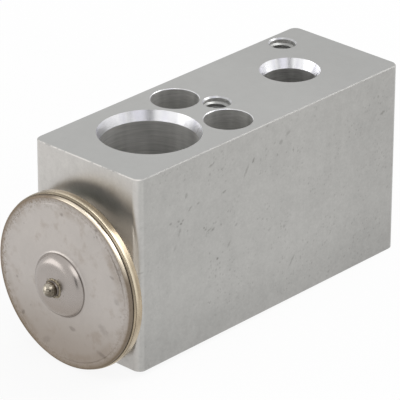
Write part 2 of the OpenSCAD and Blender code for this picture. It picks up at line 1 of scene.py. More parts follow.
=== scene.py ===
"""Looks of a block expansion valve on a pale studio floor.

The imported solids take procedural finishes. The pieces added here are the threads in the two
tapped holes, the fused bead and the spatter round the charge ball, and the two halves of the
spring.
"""

import json
import logging
import math
import random
from collections.abc import Mapping, Sequence
from dataclasses import dataclass, field, replace
from enum import Enum
from functools import reduce
from typing import Any, ClassVar

import bmesh
import bpy
from mathutils import Matrix, Vector


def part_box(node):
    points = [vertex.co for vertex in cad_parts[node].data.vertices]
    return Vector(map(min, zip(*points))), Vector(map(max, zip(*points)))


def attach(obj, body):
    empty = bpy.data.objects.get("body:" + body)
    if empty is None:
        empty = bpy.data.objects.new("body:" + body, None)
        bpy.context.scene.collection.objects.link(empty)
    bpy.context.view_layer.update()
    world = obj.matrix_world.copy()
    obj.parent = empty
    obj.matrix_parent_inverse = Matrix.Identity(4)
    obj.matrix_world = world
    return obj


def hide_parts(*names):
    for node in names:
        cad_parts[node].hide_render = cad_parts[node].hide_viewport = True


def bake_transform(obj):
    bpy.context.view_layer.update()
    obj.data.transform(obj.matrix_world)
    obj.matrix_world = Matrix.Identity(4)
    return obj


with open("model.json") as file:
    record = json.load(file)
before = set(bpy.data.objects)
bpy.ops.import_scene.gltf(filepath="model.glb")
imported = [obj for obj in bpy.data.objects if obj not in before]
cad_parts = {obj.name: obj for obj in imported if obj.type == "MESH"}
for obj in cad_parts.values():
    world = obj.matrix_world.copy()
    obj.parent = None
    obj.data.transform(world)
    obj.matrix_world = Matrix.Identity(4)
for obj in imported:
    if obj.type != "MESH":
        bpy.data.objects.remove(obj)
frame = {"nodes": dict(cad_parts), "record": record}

LOG = logging.getLogger("expansion_valve")
MM = 0.001
SHARP_ANGLE = math.radians(50)
SMOOTH = {"interpolation_type": "SMOOTHSTEP"}

# The part's own places, in millimetres in the shared frame
AXIS_Z = 19.3
HEAD_X = -43.0
END_X = 43.0
TOP_Z = 46.6
HALF_WIDTH = 16.0

Colour = tuple[float, float, float, float]
Point = tuple[float, float, float]
Trio = tuple[float, float, float]
Span = tuple[float, float]


def srgb(*levels: int) -> Colour:
    """Turns a screen colour of three levels up to 255 into the shaders' linear one."""
    shares = (level / 255 for level in levels)
    return *(s / 12.92 if s <= 0.04045 else ((s + 0.055) / 1.055) ** 2.4 for s in shares), 1.0


class Num:
    """A number socket whose operators add Math nodes."""

    def __init__(self, recipe: "Recipe", socket: bpy.types.NodeSocket) -> None:
        """Wraps an output socket of a recipe's node."""
        self.recipe = recipe
        self.socket = socket

    def _math(self, operation: str, *terms: "Num | float") -> "Num":
        """The result of one Math node with the terms as its inputs."""
        made = self.recipe.node("ShaderNodeMath", {"operation": operation}, dict(enumerate(terms)))
        return Num(self.recipe, made.outputs[0])

    def __add__(self, other: "Num | float") -> "Num":
        """Sum."""
        return self._math("ADD", self, other)

    def __radd__(self, other: float) -> "Num":
        """Reflected sum."""
        return self._math("ADD", other, self)

    def __sub__(self, other: "Num | float") -> "Num":
        """Difference."""
        return self._math("SUBTRACT", self, other)

    def __rsub__(self, other: float) -> "Num":
        """Reflected difference."""
        return self._math("SUBTRACT", other, self)

    def __mul__(self, other: "Num | float") -> "Num":
        """Product."""
        return self._math("MULTIPLY", self, other)

    def __rmul__(self, other: float) -> "Num":
        """Reflected product."""
        return self._math("MULTIPLY", other, self)

    def __truediv__(self, other: "Num | float") -> "Num":
        """Quotient."""
        return self._math("DIVIDE", self, other)

    def __rtruediv__(self, other: float) -> "Num":
        """Reflected quotient."""
        return self._math("DIVIDE", other, self)

    def __abs__(self) -> "Num":
        """Absolute value."""
        return self._math("ABSOLUTE", self)

    def least(self, other: "Num | float") -> "Num":
        """The smaller of two numbers."""
        return self._math("MINIMUM", self, other)

    def most(self, other: "Num | float") -> "Num":
        """The larger of two numbers."""
        return self._math("MAXIMUM", self, other)

    def reach(self, other: "Num") -> "Num":
        """Length of the vector whose two parts are this number and another."""
        return self._math("SQRT", self * self + other * other)

    def rise(self, low: float, high: float) -> "Num":
        """A smooth step from 0 at low to 1 at high."""
        inputs = {0: self, 1: low, 2: high}
        return self.recipe.num(self.recipe.node("ShaderNodeMapRange", SMOOTH, inputs))

    def fall(self, low: float, high: float) -> "Num":
        """A smooth step from 1 at low to 0 at high."""
        return 1 - self.rise(low, high)

    def band(self, low: float, high: float, soft: float) -> "Num":
        """A mask that is 1 from low to high, with sides that are twice soft wide."""
        return self.rise(low - soft, low + soft) * self.fall(high - soft, high + soft)


Socket = bpy.types.NodeSocket
Input = Num | Socket | float | Sequence[float]
Place = tuple[Num, Num, Num, Socket]


class Recipe:
    """Nodes of one material or world."""

    SEEING: ClassVar[tuple[str, ...]] = ("Camera", "Glossy", "Transmission")

    def __init__(self, tree: bpy.types.NodeTree) -> None:
        """Empties the tree that it will fill."""
        self.tree = tree
        tree.nodes.clear()

    def node(
        self,
        kind: str,
        settings: Mapping[str, Any] | None = None,
        inputs: Mapping[str | int, Input] | None = None,
    ) -> bpy.types.Node:
        """Adds a node, sets it up and feeds its sockets.

        Args:
            kind: The node's type.
            settings: Its properties, which are set first.
            inputs: Values or links by the socket's name or number.

        Returns:
            The node.
        """
        made = self.tree.nodes.new(kind)
        for name, value in (settings or {}).items():
            setattr(made, name, value)
        for key, value in (inputs or {}).items():
            source = value.socket if isinstance(value, Num) else value
            if isinstance(source, Socket):
                self.tree.links.new(source, made.inputs[key])
            else:
                made.inputs[key].default_value = source
        return made

    def num(self, node: bpy.types.Node, output: str | int = 0) -> Num:
        """One of a node's outputs as a number."""
        return Num(self, node.outputs[output])

    def parts(self, vector: Socket) -> tuple[Num, Num, Num]:
        """A vector's three numbers."""
        made = self.node("ShaderNodeSeparateXYZ", None, {0: vector})
        return self.num(made, 0), self.num(made, 1), self.num(made, 2)

    def place(self) -> Place:
        """The surface point's own coordinates in millimetres, one by one and as a vector."""
        here = self.scaled(self.node("ShaderNodeTexCoord").outputs["Object"], 1 / MM)
        return *self.parts(here), here

    def facing(self) -> tuple[Num, Num, Num]:
        """The surface's own normal in the part's frame."""
        return self.parts(self.node("ShaderNodeTexCoord").outputs["Normal"])

    def vector(self, x: Num | float, y: Num | float, z: Num | float) -> Socket:
        """Three numbers as a vector."""
        return self.node("ShaderNodeCombineXYZ", None, {0: x, 1: y, 2: z}).outputs[0]

    def scaled(self, vector: Input, factor: Num | float) -> Socket:
        """A vector or colour times a number."""
        inputs = {0: vector, "Scale": factor}
        return self.node("ShaderNodeVectorMath", {"operation": "SCALE"}, inputs).outputs[0]

    def noise(self, at: Socket, scale: float, detail: float = 4.0, roughness: float = 0.6) -> Num:
        """Smooth noise from 0 to 1, its scale in waves per millimetre."""
        inputs = {"Vector": at, "Scale": scale, "Detail": detail, "Roughness": roughness}
        return self.num(self.node("ShaderNodeTexNoise", None, inputs), "Fac")

    def swing(self, at: Socket, scale: float, detail: float = 4.0, roughness: float = 0.6) -> Num:
        """The same noise around zero."""
        return self.noise(at, scale, detail, roughness) - 0.5

    def specks(self, at: Socket, scale: float, size: Span, picked: Span) -> Num:
        """Scattered dots.

        Args:
            at: The point.
            scale: Cells per millimetre, with a dot at most in each.
            size: Where a dot starts to fade and where it ends, in cell widths.
            picked: Random number from which a cell holds a faint dot, and from which a full one.

        Returns:
            A mask of the dots.
        """
        made = self.node("ShaderNodeTexVoronoi", None, {"Vector": at, "Scale": scale})
        parts = self.node("ShaderNodeSeparateColor", None, {0: made.outputs["Color"]})
        return self.num(made, "Distance").fall(*size) * self.num(parts, 0).rise(*picked)

    def mix(self, share: Num | float, first: Input, second: Input) -> Socket:
        """Mixes two colours, with a share of the second one."""
        settings = {"data_type": "RGBA", "clamp_factor": True}
        return self.node("ShaderNodeMix", settings, {0: share, 6: first, 7: second}).outputs[2]

    def layers(self, colour: Input, *coats: tuple[Num, Input]) -> Input:
        """Lays coats, each of them a share and a colour, over a colour."""
        return reduce(lambda below, coat: self.mix(coat[0], below, coat[1]), coats, colour)

    def lit(self, colour: Input, level: Num) -> Socket:
        """A colour made lighter or darker by a number."""
        return self.scaled(colour[:3] if isinstance(colour, tuple) else colour, level)

    def bump(self, height: Num) -> Socket:
        """A normal from a height in millimetres."""
        inputs = {"Strength": 1.0, "Distance": MM, "Height": height}
        return self.node("ShaderNodeBump", None, inputs).outputs[0]

    def seen(self) -> Num:
        """1 for what the camera sees, directly or in metal and glass, and 0 for the light."""
        path = self.node("ShaderNodeLightPath")
        return reduce(Num.most, (self.num(path, f"Is {kind} Ray") for kind in self.SEEING))


@dataclass
class Coat:
    """A surface's look, with its height in millimetres and its share of metal."""

    colour: Input
    roughness: Num
    height: Num
    metal: Num | float = 1.0


class Slot(Enum):
    """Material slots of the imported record."""

    BLOCK = "block_aluminium"
    ROD = "rod_aluminium"
    HEAD = "head_stainless"
    RIM = "rim_stainless"
    POLISHED = "polished_steel"
    SPRING = "spring_steel"
    BRASS = "turned_brass"
    RUBBER = "seal_rubber"


class Body(Enum):
    """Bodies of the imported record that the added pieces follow."""

    BLOCK = "body"
    TRAIN = "valve_train"
    RING = "adjuster_ring"


@dataclass(frozen=True)
class Finish:
    """What a surface is made of. Each kind says how it is painted."""

    name: str
    slot: Slot

    def material(self) -> bpy.types.Material:
        """Makes the finish's material, or finds it where it was made before.

        Returns:
            The material.
        """
        known = bpy.data.materials.get(self.name)
        if known is not None:
            return known
        made = bpy.data.materials.new(self.name)
        made.use_nodes = True
        recipe = Recipe(made.node_tree)
        coat = self.paint(recipe)
        inputs = {
            "Base Color": coat.colour,
            "Roughness": coat.roughness,
            "Metallic": coat.metal,
            "Normal": recipe.bump(coat.height),
        }
        surface = recipe.node("ShaderNodeBsdfPrincipled", None, inputs)
        recipe.node("ShaderNodeOutputMaterial", None, {"Surface": surface.outputs[0]})
        return made

    def paint(self, recipe: Recipe) -> Coat:
        """Works out the look of the surface.

        Args:
            recipe: The material's recipe.

        Returns:
            The look.
        """
        raise NotImplementedError


@dataclass(frozen=True)
class Hole:
    """A round hole in one of the two port faces, in millimetres."""

    x: float
    y: float
    mouth_r: float
    taper: float
    from_top: bool = True
    shine: float = 1.04
    # tone sets the bored wall's level; a lower one is painted shade in a narrow bore.
    tone: float = 0.99


@dataclass(frozen=True)
class Mark:
    """A dark speck or a short scratch, in millimetres along the two directions of a flat face."""

    RAGGED: ClassVar[float] = 2.6
    FADE: ClassVar[Span] = (0.5, 1.7)

    across: float
    up: float
    length: float
    width: float
    slant: float
    depth: float

    def mask(self, across: Num, up: Num, ragged: Num) -> Num:
        """Where the mark is.

        Args:
            across: The point's place along the face.
            up: Its place up the face.
            ragged: Noise around zero that breaks the outline.

        Returns:
            The mark's strength, from 0 outside it.
        """
        turn = math.radians(self.slant)
        a, b = across - self.across, up - self.up
        along = (a * math.cos(turn) + b * math.sin(turn)) / (self.length / 2)
        aside = (b * math.cos(turn) - a * math.sin(turn)) / (self.width / 2)
        return (along.reach(aside) + ragged * self.RAGGED).fall(*self.FADE) * self.depth


def marks_of(*rows: Sequence[float]) -> tuple[Mark, ...]:
    """Marks from rows that hold their fields in order."""
    return tuple(Mark(*row) for row in rows)


@dataclass(frozen=True)
class BlockAluminium(Finish):
    """Drawn aluminium bar with milled port faces and bored holes."""

    ports: tuple[Hole, ...]
    holes: tuple[Hole, ...]
    milled: Colour = srgb(171, 171, 169)
    drawn: Colour = srgb(177, 176, 173)
    # Lighter colour of the end faces, which are drawn like the sides: painted light.
    lit_end_face: Colour = srgb(196, 193, 189)
    pit: Colour = srgb(104, 104, 97)
    bright: Colour = srgb(242, 242, 244)
    cut_edge: Colour = srgb(158, 157, 155)
    # A painted highlight for the edges at the end faces and round the corners.
    edge_highlight: Colour = srgb(214, 211, 207)
    # Bluish tint of the tapered mouths: a painted reflection.
    reflected_lilac: Colour = srgb(196, 194, 214)
    bored: Colour = srgb(196, 195, 192)
    corner: float = 2.2
    mill_centre: Span = (140.0, 9.0)
    scratch_lean: Span = (0.83, 0.55)
    marks: tuple[Mark, ...] = marks_of(
        (-30.6, 32.7, 0.7, 0.5, 0, 0.5), (-29.9, 31.9, 0.6, 0.5, 0, 0.75),
        (-29.3, 32.5, 0.6, 0.4, 20, 0.5), (-31.0, 31.6, 0.5, 0.4, 0, 0.4),
        (-30.2, 30.3, 0.9, 0.6, 60, 0.4), (-30.6, 29.5, 0.8, 0.5, 60, 0.3),
        (-31.8, 26.6, 1.4, 0.6, 65, 0.2), (-33.2, 33.0, 0.7, 0.5, 0, 0.45),
        (-27.8, 29.5, 0.6, 0.4, 20, 0.4), (-22.5, 28.3, 0.5, 0.5, 0, 0.6),
        (-22.0, 27.7, 0.6, 0.4, 0, 0.5), (-19.7, 26.9, 1.0, 0.5, 25, 0.55),
        (-20.9, 27.2, 1.6, 0.3, 15, 0.4), (-16.1, 34.8, 1.3, 0.4, 15, 0.5),
        (-28.2, 38.1, 1.1, 0.7, 70, 0.45), (-27.0, 34.6, 1.3, 0.4, 40, 0.4),
        (-24.4, 34.9, 0.8, 0.5, 10, 0.45), (-18.1, 19.2, 0.6, 0.5, 0, 0.8),
        (-14.4, 21.4, 1.3, 0.6, 50, 0.4), (-12.1, 25.4, 0.9, 0.5, 30, 0.35),
        (-6.6, 39.2, 1.2, 0.5, 60, 0.6), (-8.9, 37.4, 2.4, 0.6, 62, 0.4),
        (-20.4, 42.6, 1.5, 0.5, 12, 0.4), (2.5, 40.6, 1.0, 0.9, 0, 0.4),
        (4.9, 42.0, 1.5, 0.7, 25, 0.35), (3.9, 19.3, 0.8, 0.6, 0, 0.4),
        (6.8, 9.7, 2.6, 0.4, 55, 0.4), (37.4, 36.2, 1.2, 0.6, 20, 0.5),
    )

    def _pits(self, recipe: Recipe, place: Place) -> Num:
        """Dark pits and short slanting scratches of the drawn skin.

        Args:
            recipe: The material's recipe.
            place: The point in millimetres.

        Returns:
            A mask of the marks.
        """
        x, y, z, here = place
        wander = recipe.swing(here, 1.1, 3.0) * 0.9
        along, up = x + y + wander, z + wander
        coarse = recipe.specks(recipe.vector(along, up, 0.0), 0.55, (0.06, 0.26), (0.68, 0.86))
        fine = recipe.specks(recipe.vector(along, up, 7.0), 1.3, (0.10, 0.46), (0.56, 0.76))
        cosine, sine = self.scratch_lean
        lengthwise = (along * cosine + up * sine) * 0.32
        slanted = recipe.vector(lengthwise, up * cosine - along * sine, 3.0)
        scratches = recipe.specks(slanted, 0.34, (0.03, 0.15), (0.88, 0.96)) * 0.15
        clusters = recipe.noise(here, 0.09, 2.0).rise(0.44, 0.60)
        found = (coarse * 0.45 + fine * 0.36) * (clusters * 0.85 + 0.15)
        found = found + scratches * (clusters * 0.6 + 0.4)
        ragged = recipe.swing(here, 2.2, 4.0, 0.75)
        right_side = y.fall(-HALF_WIDTH + 0.2, -HALF_WIDTH + 0.4)
        for mark in self.marks:
            found = found + mark.mask(x, z, ragged) * right_side
        return found.least(1.0)

    def _cut(self, recipe: Recipe, hole: Hole, place: Place, coat: Coat) -> None:
        """Lays the tapered mouth and the bored wall of a hole over the block's look.

        Args:
            recipe: The material's recipe.
            hole: The hole.
            place: The point in millimetres.
            coat: The look so far, which is changed.
        """
        x, y, z, _ = place
        dx, dy = x - hole.x, y - hole.y
        radius = dx.reach(dy)
        depth = TOP_Z - z if hole.from_top else z
        inside = radius.fall(hole.mouth_r + 0.02, hole.mouth_r + 0.08) * depth.rise(0.0, 0.04)
        inside = inside * depth.fall(TOP_Z / 2 - 1, TOP_Z / 2 + 1)
        outside = 1 - inside
        tapered = inside * depth.fall(hole.taper - 0.02, hole.taper + 0.06)
        bored = inside - tapered

        # The tapered mouth's streaks round the axis are partly real turning marks and partly
        # painted reflection; its bluish tint is a painted reflection.
        cosine, sine = dx / radius, dy / radius
        streak = recipe.swing(recipe.vector(cosine, sine, depth * 0.02), 1.9, 2.0, 0.5)
        turns = recipe.vector(cosine * 0.7, sine * 0.7, depth * 1.2)
        rings = recipe.swing(turns, 1.6, 4.0, 0.78)
        shine = recipe.mix(streak.fall(-0.16, -0.06) * 0.4, self.bright, self.reflected_lilac)
        shine = recipe.lit(shine, streak * 0.30 + hole.shine)
        # The bored wall is darker deeper down, and darker in the narrow liquid ports by their tone:
        # painted shade.
        level = rings * 0.9 + streak * 1.1 - depth.rise(2.0, 14.0) * 0.12 + hole.tone
        wall = recipe.lit(self.bored, level)
        gloss = tapered * (0.27 + streak * 0.05) + bored * (0.31 + rings * 0.10)
        coat.colour = recipe.layers(coat.colour, (tapered, shine), (bored, wall))
        coat.roughness = coat.roughness * outside + gloss
        coat.metal = coat.metal * outside + tapered * 0.85 + bored * 0.50
        coat.height = coat.height * outside + inside * (rings * 0.0025 + streak * 0.001)

    def paint(self, recipe: Recipe) -> Coat:
        """See Finish.paint."""
        x, y, z, here = place = recipe.place()
        nx, _, nz = recipe.facing()
        up = abs(nz).rise(0.55, 0.95)
        side = 1 - up
        end = abs(nx).rise(0.6, 0.98)
        far_end = x.rise(5.0, 42.0)
        grain = recipe.swing(here, 3.2)
        clouds = recipe.swing(here, 0.07, 3.0, 0.55)
        mottle = recipe.swing(here, 0.42, 3.0)

        along = x + y
        bands = recipe.swing(recipe.vector(along * 1.3, 0.0, z * 0.06), 0.32, 4.0, 0.62)
        lines = recipe.swing(recipe.vector(along * 3.4, 1.5, z * 0.1), 1.0, 3.0)
        pebble = recipe.swing(here, 1.3, 3.0, 0.65)
        pits = self._pits(recipe, place) * side
        tone = 1 + bands * 0.10 + clouds * 0.14 + mottle * 0.18 + pebble * 0.20 + grain * 0.16
        # Faces turned partly towards the ends, the rounded corners, are made lighter: a painted
        # highlight.
        tone = tone + abs(nx).band(0.25, 0.9, 0.12) * 0.12 - far_end * 0.07
        # Darker towards the floor, and more so on the end faces: painted shade.
        tone = tone - z.fall(2.0, 15.0) * 0.12 - end * z.fall(0.0, 10.0) * 0.06
        # The end faces take the lighter colour as painted light for the light falling on them.
        drawn = recipe.lit(recipe.mix(end, self.drawn, self.lit_end_face), tone)
        drawn = recipe.mix(pits * (0.64 - end * 0.5), drawn, self.pit)

        arc = (x - self.mill_centre[0]).reach(y - self.mill_centre[1])
        cutter = recipe.swing(recipe.vector(arc, 0.0, 0.0), 2.6, 3.0)
        level = 1 + cutter * 0.08 + clouds * 0.08 + mottle * 0.08 + grain * 0.10 - far_end * 0.08
        milled = recipe.lit(self.milled, level)

        drawn_gloss = 0.42 - end * 0.12 + bands * 0.10 + pits * 0.25
        drawn_height = lines * 0.0022 + grain * 0.003 - pits * 0.02
        roughness = side * drawn_gloss + up * (0.34 + cutter * 0.05) + clouds * 0.05
        height = side * drawn_height + up * (cutter * 0.0022 + grain * 0.0022)

        # The edge line takes the colour of the cut edge along the faces and a paler one where it
        # turns towards the ends and round the corners; the paler one is a painted highlight, and
        # the nicks are real.
        nicks = recipe.noise(here, 0.55, 3.0, 0.7).rise(0.34, 0.56)
        near_side = (abs(y) - (HALF_WIDTH - self.corner)).rise(0.0, 0.4)
        near_end = (abs(x) - (END_X - self.corner)).rise(0.0, 0.4)
        edge = abs(nz).band(0.3, 0.92, 0.08) * (TOP_Z - z).least(z).fall(0.2, 0.32)
        edge = edge * near_side.most(near_end)
        broken_edge_and_highlight = recipe.mix(abs(nx).rise(0.2, 0.6), self.cut_edge, self.edge_highlight)
        colour = recipe.layers(drawn, (up, milled), (edge * (nicks * 0.6 + 0.4), broken_edge_and_highlight))
        colour = recipe.lit(colour, 1 - edge * (1 - nicks) * 0.25)
        roughness = roughness * (1 - edge) + edge * 0.55

        coat = Coat(colour, roughness, height, 1 - end * 0.12)
        for hole in self.ports + self.holes:
            self._cut(recipe, hole, place, coat)
        return coat


@dataclass(frozen=True)
class CapStainless(Finish):
    """Satin drawn cap of the power element, stained and tinted by heat towards its weld."""

    sheet: Colour = srgb(184, 178, 173)
    dome: Colour = srgb(166, 159, 154)
    stain: Colour = srgb(138, 124, 110)
    brown: Colour = srgb(120, 106, 88)
    # Pale colour of the painted highlights on the rims.
    highlight_cream: Colour = srgb(240, 228, 208)
    spot: Colour = srgb(84, 76, 70)
    seam_h: float = 6.08
    weld_foot: Span = (1.7, 2.5)
    dome_foot: Span = (7.0, 8.0)
    # Where the dark line at the dome's foot is painted, as painted shade.
    crease_shade: Span = (7.32, 7.52)
    water_line: Span = (16.6, 18.4)
    groove: Span = (18.35, 18.65)
    crusted: Span = (16.4, 19.3)
    heated: Span = (18.4, 19.8)
    turned_over: Span = (19.45, 19.9)
    lip_highlight_span: Span = (19.72, 20.0)
    marks: tuple[Mark, ...] = marks_of(
        (0.1, 36.0, 0.9, 0.7, 0, 0.6), (-10.0, 35.5, 0.8, 0.7, 0, 0.7),
        (-16.9, 28.0, 1.4, 0.4, 70, 0.45), (-14.8, 26.0, 1.2, 0.5, 20, 0.45),
        (14.1, 16.3, 0.7, 0.6, 0, 0.45), (12.7, 7.8, 1.4, 0.8, -60, 0.6),
        (-11.3, 6.0, 3.0, 0.9, 15, 0.5), (-3.4, 9.6, 1.5, 0.9, 10, 0.45),
        (-12.6, 12.2, 2.6, 1.6, 40, 0.28), (-16.2, 20.6, 1.4, 1.0, 60, 0.28),
        (5.6, 3.6, 2.4, 1.2, -30, 0.25),
    )

    def paint(self, recipe: Recipe) -> Coat:
        """See Finish.paint."""
        x, y, z, here = recipe.place()
        up, below = z - AXIS_Z, AXIS_Z - z
        radius = y.reach(up)
        spoke = recipe.vector(y / radius, up / radius, x * 0.05)
        round_about = recipe.noise(spoke, 1.9)
        clouds = recipe.swing(here, 0.13)
        grain = recipe.swing(here, 2.4)
        mottle = recipe.swing(here, 0.55, 3.0)
        peel = recipe.swing(here, 0.9, 2.0, 0.5)

        dome = radius.fall(*self.dome_foot)
        flat = 1 - dome
        low = below.rise(-1.0, 19.0)
        tone = 1 + clouds * 0.18 + mottle * 0.10 + grain * 0.07
        colour = recipe.layers(
            recipe.lit(recipe.mix(dome, self.sheet, self.dome), tone),
            (recipe.noise(here, 0.26, 4.0, 0.65).rise(0.50, 0.72) * flat * 0.34, self.stain),
            # The face is laid darker towards the bottom, and the dome's lower half more so.
            (low * 0.66, self.stain),
            (below.rise(0.0, 6.0) * dome * 0.30, self.stain),
            (radius.band(*self.water_line, 0.7) * round_about.rise(0.42, 0.60) * 0.34, self.stain),
        )

        large = recipe.vector(y + peel, z + peel, 2.0)
        small = recipe.vector(y + peel, z + peel, 5.0)
        outward = radius.rise(12.0, 18.5)
        spots = recipe.specks(large, 0.30, (0.03, 0.12), (0.62, 0.74)) * flat * 0.55
        spots = spots + recipe.specks(small, 0.75, (0.05, 0.22), (0.60, 0.75)) * outward * 0.55
        for mark in self.marks:
            spots = spots + mark.mask(y, z, mottle)
        spots = spots.least(1.0)
        ring = radius.band(*self.groove, 0.18) * (round_about.rise(0.36, 0.60) * 0.8 + 0.1)
        # A dark line round the dome's foot, stronger towards the upper right: painted shade.
        crease_shade = radius.band(*self.crease_shade, 0.10) * (round_about.rise(0.30, 0.62) * 0.3 + 0.7)
        crease_shade = crease_shade * (((up * 0.5 - y * 0.87) / radius).rise(-0.6, 0.5) * 0.6 + 0.32)

        crust = radius.rise(*self.crusted) * recipe.noise(here, 1.5, 4.0, 0.75).rise(0.50, 0.60)
        tint = radius.rise(*self.heated)
        # The heat tint is real; making it stronger on the +y side and towards the bottom is painted
        # shade.
        burnt = (0.46 + low * 0.2 + y.rise(0.0, 14.0) * 0.45).least(0.95)
        heat = recipe.mix((round_about + grain * 0.4).rise(0.40, 0.62), self.stain, self.brown)
        edge_line = radius.rise(*self.turned_over)
        toward_top = (up * 0.87 - y * 0.50) / radius
        # The cap's rounded edge is laid pale towards the upper right: a painted highlight.
        lip_highlight = radius.rise(*self.lip_highlight_span) * toward_top.rise(0.74, 0.94)
        # The cap's side next to the weld is darkened: painted shade in the crevice between cap and
        # rim.
        seam_shade = (HEAD_X - x).fall(self.seam_h + 0.08, self.seam_h + 0.35) * radius.rise(19.6, 19.9)
        colour = recipe.layers(
            colour,
            (spots * 0.62, self.spot),
            (ring * 0.30, self.brown),
            (crease_shade, self.spot),
            (radius.fall(*self.weld_foot) * 0.8, self.spot),
            (crust * (0.35 + y.rise(-6.0, 12.0) * 0.35), self.brown),
            (tint * burnt, heat),
            (edge_line * 0.7, self.brown),
            (lip_highlight, self.highlight_cream),
            (seam_shade * 0.5, self.spot),
        )
        roughness = 0.36 - dome * 0.08 - tint * 0.02 + clouds * 0.10 + grain * 0.05
        roughness = roughness + spots * 0.2 + edge_line * 0.2 - lip_highlight * 0.3
        turned = recipe.swing(recipe.vector(radius, 0.0, 0.0), 3.4, 3.0)
        height = peel * 0.004 + grain * 0.0016 + turned * 0.0012 - spots * 0.008 - ring * 0.006
        return Coat(colour, roughness, height)


@dataclass(frozen=True)
class WeldedRim(Finish):
    """Rim and pan of the lower cap, with the gold and brown tints of the weld."""

    steel: Colour = srgb(186, 176, 164)
    tan: Colour = srgb(160, 147, 126)
    highlight_cream: Colour = srgb(226, 214, 190)
    brown: Colour = srgb(108, 96, 80)
    # Dark colour of the painted shade in the rim's crevices.
    crevice_shade: Colour = srgb(58, 50, 40)
    shaded: Colour = srgb(58, 66, 58)
    # Near-white back of the pan: painted light for the light that reaches the shaded gap.
    pan: Colour = srgb(244, 238, 228)
    groove_h: float = 5.52
    seam_h: float = 6.08
    flank_r: float = 20.1
    rim_from: Span = (17.6, 19.2)

    def paint(self, recipe: Recipe) -> Coat:
        """See Finish.paint."""
        x, y, z, here = recipe.place()
        nx, _, _ = recipe.facing()
        up, out = z - AXIS_Z, HEAD_X - x
        radius = y.reach(up)
        spoke = recipe.vector(y / radius, up / radius, x * 0.2)
        round_about = recipe.noise(spoke, 2.3, 4.0, 0.62)
        grain = recipe.swing(here, 2.6)
        lines = recipe.swing(recipe.vector(out, radius * 0.4, 0.0), 4.2, 3.0)

        rim = radius.rise(*self.rim_from)
        back = nx.rise(0.3, 0.8)
        toward_top = (up * 0.80 - y * 0.60) / radius
        lip = rim * out.rise(self.groove_h - 0.9, self.groove_h - 0.3)
        # The lip is laid pale towards the upper right: a painted highlight.
        bright = lip * toward_top.rise(0.50, 0.88)
        bead = out.rise(self.groove_h - 0.04, self.groove_h + 0.06) * radius.rise(19.8, 20.0)
        browned = round_about.rise(0.40, 0.64) * (1 - bright) * 0.4
        tinted = recipe.mix(browned, self.tan, self.brown)
        colour = recipe.layers(
            self.steel,
            # The rim's tint is made lighter towards the -y side: painted light.
            (rim, recipe.lit(tinted, 1 + y.fall(-16.0, -2.0) * 0.34)),
            (bright * 0.9, self.highlight_cream),
            # The bead is laid brown towards the top: partly weld tint and partly the painted shade
            # of the dark line at the weld.
            (bead * toward_top.rise(0.45, 0.8) * 0.8, self.brown),
            # The back of the pan is laid near white: painted light, seen in the end face's
            # reflection.
            (back * radius.fall(18.8, 19.4), self.pan),
            (back * radius.band(16.8, 19.3, 0.6) * up.rise(13.0, 17.5), self.shaded),
        )
        colour = recipe.lit(colour, 1 + grain * 0.14 + lines * 0.12)

        # The groove and the crevice at the weld are darkened: painted shade.
        near_groove = out.band(self.groove_h - 0.06, self.groove_h + 0.06, 0.05)
        near_seam = out.rise(self.seam_h - 0.08, self.seam_h - 0.01)
        flank = radius.rise(self.flank_r, self.flank_r + 0.05)
        crevice = (near_groove.most(near_seam) * flank).least(1.0)
        colour = recipe.mix(crevice * 0.7, colour, self.crevice_shade)
        roughness = 0.34 - rim * 0.08 - back * 0.10 + grain * 0.08 + lines * 0.06 + crevice * 0.3
        return Coat(colour, roughness, lines * 0.0025 + grain * 0.002, 0.9 + back * 0.1)


@dataclass(frozen=True)
class PolishedBall(Finish):
    """Bearing-bright ball with fused dirt round its foot."""

    steel: Colour = srgb(178, 170, 156)
    dirt: Colour = srgb(62, 52, 40)
    foot_h: float = 10.95

    def paint(self, recipe: Recipe) -> Coat:
        """See Finish.paint."""
        x, y, z, here = recipe.place()
        mottle = recipe.noise(here, 1.6)
        foot = (HEAD_X - x + mottle * 0.9).fall(self.foot_h, self.foot_h + 0.8)
        # The ball is darker towards its lower -y side: a painted dark reflection together with some
        # heat tint.
        burnt = ((AXIS_Z - z) * 0.6 - y + (mottle - 0.5) * 2.4).rise(-0.2, 0.7) * 0.85
        specks = recipe.noise(here, 2.2, 3.0, 0.65).rise(0.52, 0.62) * 0.6
        clean = recipe.lit(self.steel, mottle * 0.3 + 0.8)
        colour = recipe.layers(clean, (foot.most(burnt) * 0.85, self.dirt), (specks, self.dirt))
        return Coat(colour, 0.07 + foot * 0.3 + specks * 0.2, (mottle - 0.5) * 0.004)


@dataclass(frozen=True)
class FusedMetal(Finish):
    """Melted and resolidified steel of the small weld, straw to dark brown."""

    straw: Colour = srgb(142, 132, 114)
    dark: Colour = srgb(60, 52, 43)

    def paint(self, recipe: Recipe) -> Coat:
        """See Finish.paint."""
        here = recipe.place()[3]
        burnt = recipe.noise(here, 1.4, 4.0, 0.65)
        scale = recipe.swing(here, 6.0, 3.0)
        colour = recipe.mix(burnt.rise(0.44, 0.66) * 0.85, self.straw, self.dark)
        return Coat(colour, 0.20 + burnt * 0.22, scale * 0.02 + burnt * 0.02)


